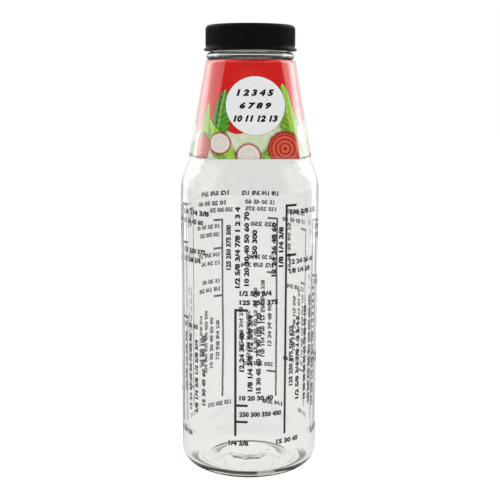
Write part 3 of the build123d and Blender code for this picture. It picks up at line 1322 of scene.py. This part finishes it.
    def roundel_digits(self, sizes):
        """Sets three rows of plain digits in the roundel."""
        enamel = bpy.data.materials["black_enamel"]
        mesh = bmesh.new()
        for row, (text, wide) in enumerate(self.rows):
            data = digits(text, sizes.digit_height, wide * MM, sizes.boldness, sizes.slant)
            lift = (1 - row) * sizes.row_pitch - sizes.digit_height / 2
            data.transform(Matrix.Translation((-wide * MM / 2, lift, 0)))
            mesh.from_mesh(data)
            bpy.data.meshes.remove(data)
        upright = Vector((0, self.slant, 1)).normalized()
        outward = Vector((1, 0, 0)).cross(upright)
        height = sizes.roundel_height / hypot(1, self.slant)
        back = self.slant * height - sizes.foot_reach
        middle = Vector((sizes.roundel_offset, back, self.foot + height))
        turn = Matrix((Vector((1, 0, 0)), upright, outward)).transposed().to_4x4()
        place = Matrix.Translation(middle + outward * 0.03 * MM) @ turn
        bmesh.ops.transform(mesh, matrix=place, verts=mesh.verts)
        finish_piece(mesh, "roundel_digits", "sleeve", "printed_card", enamel)


class DRESSING_OT_stage(Operator):
    """Set up the camera, the lamps, the floor and the pale surroundings"""

    bl_idname = "dressing_bottle.stage"
    bl_label = "Stage"

    sensor_width = 36
    camera_side_edge = (-0.55, -0.25)

    def execute(self, context):
        settings = context.scene.bottle_stage
        context.scene.view_settings.view_transform = "Standard"
        self.camera(context, settings)
        self.floor(settings)
        self.world(context, settings)
        self.lamps(settings)
        return {"FINISHED"}

    def camera(self, context, stage):
        """The camera, where the picture was taken from."""
        data = bpy.data.cameras.new("camera")
        data.sensor_width = self.sensor_width
        data.lens = data.sensor_width * stage.focal_pixels / stage.picture_pixels
        data.clip_start = 10 * MM
        camera = bpy.data.objects.new("camera", data)
        context.collection.objects.link(camera)
        place = Matrix.Rotation(-stage.camera_side, 4, "Z") @ Vector((0, -stage.camera_distance, 0))
        place.z = stage.camera_height
        turn = (
            Matrix.Rotation(-stage.camera_side - stage.camera_swing, 4, "Z")
            @ Matrix.Rotation(pi / 2 - stage.camera_pitch, 4, "X")
            @ Matrix.Rotation(stage.camera_roll, 4, "Z")
        )
        camera.matrix_world = Matrix.Translation(place) @ turn
        context.scene.camera = camera

    def floor(self, stage):
        """A pale floor that shows white and keeps the shadow, with a painted shadow right under the
        heel that the camera sees only through glass and in gloss.
        """
        mesh = bmesh.new()
        bmesh.ops.create_grid(mesh, x_segments=8, y_segments=8, size=stage.floor_size / 2)
        data = bpy.data.meshes.new("floor")
        mesh.to_mesh(data)
        mesh.free()
        paint = Material("pale_floor")
        contact = paint.group(
            contact_shade,
            Vector=paint.place(),
            Inner=stage.ring_inner,
            Outer=stage.ring_outer,
            Gap=stage.ring_gap,
        )
        rays = paint.add("LightPath").outputs
        in_glass = rays["Is Transmission Ray"]
        # The painted shadow under the heel is left out of the camera's own view of the floor
        kept = paint.math("MAXIMUM", contact["Kept"], rays["Is Camera Ray"])
        seen = paint.math("MULTIPLY", rays["Is Camera Ray"], stage.floor_lift)
        lift = paint.scaled(in_glass, stage.floor_bounced, seen) * kept
        grey = paint.scaled(in_glass, stage.floor_grey_bounced - stage.floor_grey, stage.floor_grey)
        surface = paint.value(
            "BsdfPrincipled",
            Base_Color=paint.mix(kept, (*stage.contact, 1), grey),
            Roughness=0.9,
            Specular_IOR_Level=0.0,
            Emission_Color=lift,
            Emission_Strength=1.0,
        )
        paint.feed(paint.output["Surface"], surface)
        data.materials.append(paint.material)
        floor = bpy.data.objects.new("floor", data)
        bpy.context.collection.objects.link(floor)

    def world(self, context, stage):
        """White to the camera, and in glass and gloss dark only where the camera stands."""
        world = bpy.data.worlds.new("studio")
        world.use_nodes = True
        sky = Nodes(world.node_tree)
        sky.tree.nodes.clear()
        rays = sky.add("LightPath").outputs
        start, end = self.camera_side_edge
        front = sky.value(
            "MapRange",
            interpolation_type="SMOOTHSTEP",
            Value=sky.value("TexCoord", out="Generated").split()[1],
            From_Min=start,
            From_Max=end,
            To_Min=stage.front_bounced,
            To_Max=stage.wall_bounced,
        )
        bounced = sky.math("MAXIMUM", rays["Is Glossy Ray"], rays["Is Transmission Ray"])
        lit = sky.value("MapRange", Value=rays["Is Diffuse Ray"], To_Min=1.0, To_Max=stage.wall_lit)
        level = sky.value("MapRange", Value=bounced, To_Min=lit, To_Max=front)
        sky.add("OutputWorld", sky.value("Background", Color=WHITE, Strength=level))
        context.scene.world = world

    def lamps(self, stage):
        """A tall strip light behind at each side, and a soft box above."""
        about = Matrix.Rotation(-stage.camera_side, 4, "Z")
        for name, place, size, power in (
            ("left_strip", (-0.52, 0.47, 0.60), (0.25, 1.2), stage.left_power),
            ("right_strip", (0.52, 0.47, 0.60), (0.25, 1.2), stage.right_power),
            ("top_box", (0.0, -0.35, 0.90), (0.6, 0.6), stage.top_power),
        ):
            data = bpy.data.lights.new(name, "AREA")
            data.shape = "RECTANGLE"
            data.size, data.size_y = size
            data.energy = power
            lamp = bpy.data.objects.new(name, data)
            lamp.visible_camera = False
            lamp.visible_transmission = False
            lamp.visible_glossy = name != "top_box"
            bpy.context.collection.objects.link(lamp)
            aim = Vector((0, 0, place[2] if size[1] > size[0] else 0.1)) - Vector(place)
            turn = aim.to_track_quat("-Z", "Y").to_matrix().to_4x4()
            lamp.matrix_world = about @ Matrix.Translation(place) @ turn


class DRESSING_PT_panel(Panel):
    """The bottle's pieces"""

    bl_idname = "DRESSING_PT_panel"
    bl_label = "Dressing bottle"
    bl_space_type = "VIEW_3D"
    bl_region_type = "UI"
    bl_category = "Bottle"

    def draw(self, context):
        for operator in OPERATORS:
            self.layout.operator(operator.bl_idname)


SETTINGS = {
    "bottle_glass": GlassSettings,
    "bottle_scales": ScaleSettings,
    "bottle_cap": CapSettings,
    "bottle_sleeve": SleeveSettings,
    "bottle_stage": StageSettings,
}
OPERATORS = (
    DRESSING_OT_glass,
    DRESSING_OT_scales,
    DRESSING_OT_cap,
    DRESSING_OT_sleeve,
    DRESSING_OT_stage,
)
CLASSES = (*SETTINGS.values(), *OPERATORS, DRESSING_PT_panel)


def register():
    for kind in CLASSES:
        bpy.utils.register_class(kind)
    for name, kind in SETTINGS.items():
        setattr(bpy.types.Scene, name, PointerProperty(type=kind))


def unregister():
    for name in SETTINGS:
        delattr(bpy.types.Scene, name)
    for kind in reversed(CLASSES):
        bpy.utils.unregister_class(kind)


def main():
    """Makes every piece and the stage."""
    register()
    bpy.ops.dressing_bottle.glass()
    bpy.ops.dressing_bottle.scales()
    bpy.ops.dressing_bottle.cap()
    bpy.ops.dressing_bottle.sleeve()
    bpy.ops.dressing_bottle.stage()


if __name__ == "__main__":
    main()
